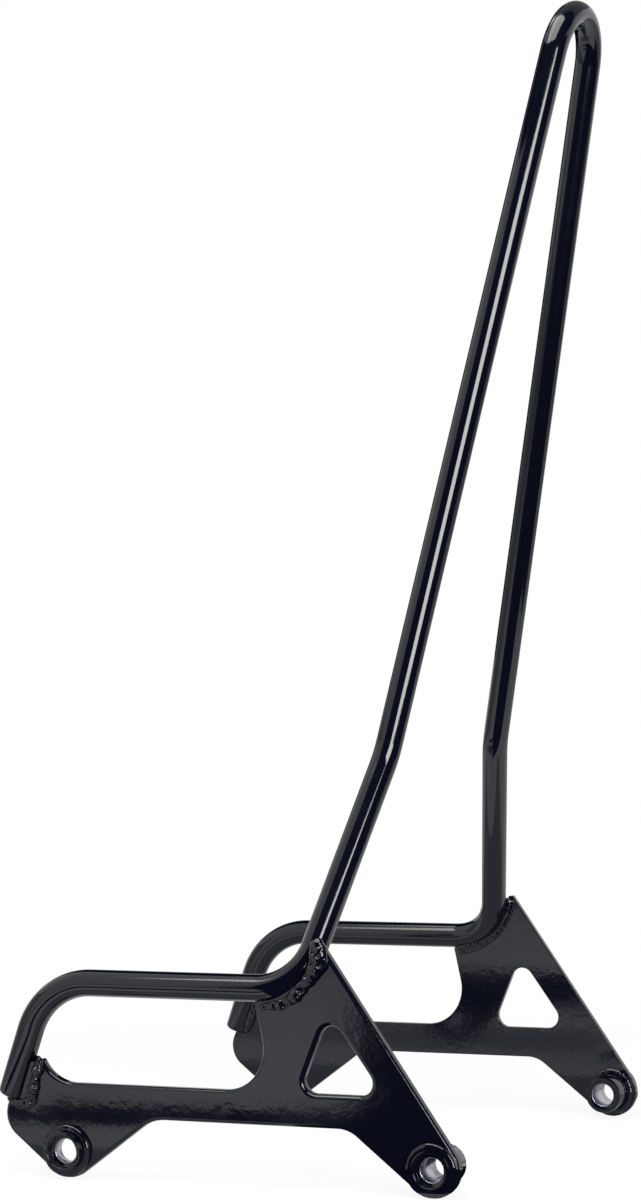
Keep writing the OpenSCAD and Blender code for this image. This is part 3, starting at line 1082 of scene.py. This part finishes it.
@dataclass
class Studio:
    """Pale floor, white surroundings, three soft boxes, dark and grey cloths and the camera."""

    layout: Layout
    floor_size: float = 6.0
    floor_sides: int = 96
    floor_drop: float = 0.0002
    floor_colour: str = "#efefef"
    floor_white: float = 0.9
    fade_start: float = 0.25
    fade_end: float = 0.7
    fill: float = 0.35
    # The right box gives the streaks along the bar, the overhead one those on crown and runs, and
    # the one behind those of the far side
    soft_boxes: tuple[SoftBox, ...] = (
        SoftBox("studio soft box right", 44, 0.46, 1.5, (0.75, 0.68), 13.0, (0.05, 0.0, 0.2)),
        SoftBox("studio soft box overhead", -14, 1.45, 0.52, (1.25, 1.04), 5.5, (0.12, 0.0, 0.56)),
        SoftBox("studio soft box behind", -116, 1.12, 0.5, (0.16, 0.16), 3.5, (0.05, 0.0, 0.1)),
    )
    # A dark room in front and above, bands that darken the crown and the runs, and a grey one on the
    # left
    screens: tuple[Screen, ...] = (
        Screen("wall", (0.08, 0.0), (-26, 118), 18, (2.2, 2.2), -0.01, 1.9, slope=0.012),
        Screen("ceiling_right", (0.08, 0.0), (-26, 120), 18, (2.3, 0.0), 1.2, 2.9),
        Screen("ceiling_behind", (0.08, 0.0), (120, 242), 15, (2.3, 0.0), 1.5, 2.9, shade=0.3),
        Screen("crown", (0.12, 0.0), (-100, 24), 8, (0.3, 0.3), 0.622, 0.72),
        Screen("run", (-0.05, -0.128), (-170, -126), 8, (0.6, 0.6), 0.26, 1.2),
        Screen("left", (-0.1, -0.128), (-112, -55), 8, (1.2, 1.2), 0.0, 0.6, shade=0.45),
    )
    # The plates mirror the floor in front of them, so these cloths draw their dark and grey zones
    cloths: tuple[FloorCloth, ...] = (
        FloorCloth("floor", 0.004, (
            (-0.247, -0.83), (-0.067, -0.40), (-0.75, -2.15), (0.16, -0.47), (0.9, -2.3),
            (0.42, -0.42), (2.3, -1.2), (0.6, -0.2), (2.4, 0.7), (0.75, 0.5))),
        FloorCloth("beside", 0.003, (
            (0.02, -0.06), (0.8, -0.06), (0.0, -0.2), (0.8, -0.2), (-0.04, -0.33), (0.85, -0.33),
            (-0.05, -0.6), (0.9, -0.6)), shade=0.01),
        FloorCloth("gap", 0.0035, ((-0.05, -0.35), (-0.05, -0.42), (0.25, -0.3), (0.25, -0.5))),
        FloorCloth("under_near", 0.002, (
            (-0.4, -0.2), (-0.4, -0.095), (0.0, -0.2), (0.0, -0.095)), shade=0.5),
        FloorCloth("under_far", 0.002, ((-0.4, 0.0), (-0.4, 0.2), (0.2, 0.0), (0.2, 0.2)), shade=0.45),
        FloorCloth("strip", 0.003, (
            (-0.32, -0.33), (-0.32, -0.25), (-0.1, -0.335), (-0.1, -0.262), (0.05, -0.36),
            (0.05, -0.285))),
    )
    # The camera: its place in millimetres from the front bushing, its turns about x, y and z in
    # degrees, and its lens and sensor in millimetres
    eye: Corner = (734.8, -1485.5, 262.8)
    camera_turns: Corner = (90.4848, 1.0973, 23.8518)
    lens: float = 96.04
    sensor: float = 36.0
    lens_shift: tuple[float, float] = (0.003274, -0.002174)

    def surroundings(self) -> None:
        """Light the scene evenly from a white world, which camera and reflections see as plain white."""
        world = bpy.data.worlds.new("white studio")
        bpy.context.scene.world = world
        world.use_nodes = True
        tree = world.node_tree
        tree.nodes.clear()
        rays = add_node(tree, "ShaderNodeLightPath")
        seen = add_node(tree, "ShaderNodeMath", {"operation": "MAXIMUM"},
                        {0: rays.outputs["Is Camera Ray"], 1: rays.outputs["Is Glossy Ray"]})
        clear = add_node(tree, "ShaderNodeMath", {"operation": "MAXIMUM"},
                         {0: seen.outputs[0], 1: rays.outputs["Is Transmission Ray"]})
        strength = add_node(tree, "ShaderNodeMapRange", None,
                            {"Value": clear.outputs[0], "To Min": self.fill, "To Max": 1.0})
        back = add_node(tree, "ShaderNodeBackground", None,
                        {"Color": WHITE, "Strength": strength.outputs["Result"]})
        add_node(tree, "ShaderNodeOutputWorld", None, {"Surface": back.outputs["Background"]})

    def floor(self) -> bpy.types.Object:
        """Lay the floor, which keeps the shadow near the object and fades into the white beyond.

        Returns:
            The floor.
        """
        mesh = bmesh.new()
        bmesh.ops.create_circle(mesh, cap_ends=True, segments=self.floor_sides, radius=self.floor_size)
        made, tree = blank_material("matt white paper")
        place = add_node(tree, "ShaderNodeTexCoord").outputs["Object"]
        reach = add_node(tree, "ShaderNodeVectorMath", {"operation": "LENGTH"}, {0: place})
        fade = add_node(tree, "ShaderNodeMapRange", {"interpolation_type": "SMOOTHSTEP"},
                        {"Value": reach.outputs["Value"], "From Min": self.fade_start,
                         "From Max": self.fade_end, "To Min": self.floor_white, "To Max": 1.0})
        rays = add_node(tree, "ShaderNodeLightPath")
        share = add_node(tree, "ShaderNodeMath", {"operation": "MULTIPLY"},
                         {0: rays.outputs["Is Camera Ray"], 1: fade.outputs["Result"]})
        paper = add_node(tree, "ShaderNodeBsdfDiffuse", None, {"Color": linear(self.floor_colour)})
        white = add_node(tree, "ShaderNodeEmission", None, {"Color": WHITE, "Strength": 1.0})
        mix = add_node(tree, "ShaderNodeMixShader", None,
                       {0: share.outputs[0], 1: paper.outputs["BSDF"], 2: white.outputs["Emission"]})
        add_node(tree, "ShaderNodeOutputMaterial", None, {"Surface": mix.outputs["Shader"]})
        laid = piece_from(mesh, "studio_floor", [made])
        laid.location.z = -self.floor_drop
        return laid

    def hang(self, box: SoftBox) -> bpy.types.Object:
        """Hang one soft box and turn it to the object.

        Args:
            box: The soft box.

        Returns:
            The light.
        """
        data = bpy.data.lights.new(box.name, "AREA")
        data.shape = "RECTANGLE"
        data.size, data.size_y = box.size
        data.energy = box.radiance * math.pi * box.size[0] * box.size[1]
        made = bpy.data.objects.new(box.name, data)
        made.location = (*round_point(box.aim, box.azimuth, box.distance), box.height)
        made.rotation_euler = (Vector(box.aim) - made.location).to_track_quat("-Z", "Y").to_euler()
        made.visible_camera = False
        bpy.context.scene.collection.objects.link(made)
        return made

    def flag(self, name: str, corners: Sequence[Corner], shade: float) -> bpy.types.Object:
        """Set up a cloth, which only reflections show, to give the gloss its dark zones.

        Args:
            name: The flag's name.
            corners: Its points in metres, as pairs across it.
            shade: How bright it looks, where 1 is white.

        Returns:
            The flag.
        """
        mesh = bmesh.new()
        verts = [mesh.verts.new(c) for c in corners]
        for i in range(0, len(verts) - 2, 2):
            mesh.faces.new((verts[i], verts[i + 2], verts[i + 3], verts[i + 1]))
        made, tree = blank_material(f"black felt {name}")
        felt = add_node(tree, "ShaderNodeEmission", None, {"Color": WHITE, "Strength": shade})
        add_node(tree, "ShaderNodeOutputMaterial", None, {"Surface": felt.outputs["Emission"]})
        hung = piece_from(mesh, name, [made])
        hung.visible_camera = False
        hung.visible_diffuse = False
        hung.visible_shadow = False
        hung.visible_transmission = False
        return hung

    def camera(self) -> bpy.types.Object:
        """Set up the camera at the photograph's place, measured from the front bushing.

        Returns:
            The camera.
        """
        data = bpy.data.cameras.new("studio camera")
        data.sensor_fit = "VERTICAL"
        data.sensor_height = self.sensor
        data.lens = self.lens
        data.shift_x, data.shift_y = self.lens_shift
        made = bpy.data.objects.new("studio camera", data)
        made.location = self.layout.at(*self.eye)
        made.rotation_euler = [math.radians(turn) for turn in self.camera_turns]
        bpy.context.scene.collection.objects.link(made)
        bpy.context.scene.camera = made
        return made

    def build(self) -> None:
        """Put up the whole studio."""
        bpy.context.scene.view_settings.view_transform = "Standard"
        self.surroundings()
        self.floor()
        for box in self.soft_boxes:
            self.hang(box)
        for cloth in (*self.screens, *self.cloths):
            self.flag(f"studio_flag_{cloth.name}", cloth.corners(), cloth.shade)
        self.camera()
        LOG.info("studio: floor, %d soft boxes, %d screens, %d floor cloths and the camera",
                 len(self.soft_boxes), len(self.screens), len(self.cloths))


def main() -> None:
    """Read the layout from the CAD boxes, build the frame's pieces in order and put up the studio."""
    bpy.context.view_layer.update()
    logging.basicConfig(level=logging.INFO, format="%(message)s")
    layout = Layout.read()
    coat = PowderCoat().material()
    bead_coat = PowderCoat(name="black powder coat over weld metal", roughness=0.07, peel_width=1.4,
                           peel_depth=0.004).material()
    steel = TurnedSteel().material()
    bar_coat = PowderCoat(name="black powder coat flowed smooth on round bar", peel_depth=0.008,
                          wave_depth=0.012).material()
    HoopBar(layout, bar_coat).build()
    for side in Side:
        SidePlate(layout, side, coat).build()
        Bushing(layout, side, Where.FRONT, x=0.0, out=6.3, inward=0.0, counterbore=4.7,
                coat=coat, steel=steel).build()
        Bushing(layout, side, Where.REAR, x=layout.hole_spacing, out=3.6, inward=14.6, counterbore=3.4,
                coat=coat, steel=steel).build()
        Welds(layout, side, bead_coat).build()
    Studio(layout).build()
    bpy.context.view_layer.update()


if __name__ == "__main__":
    main()
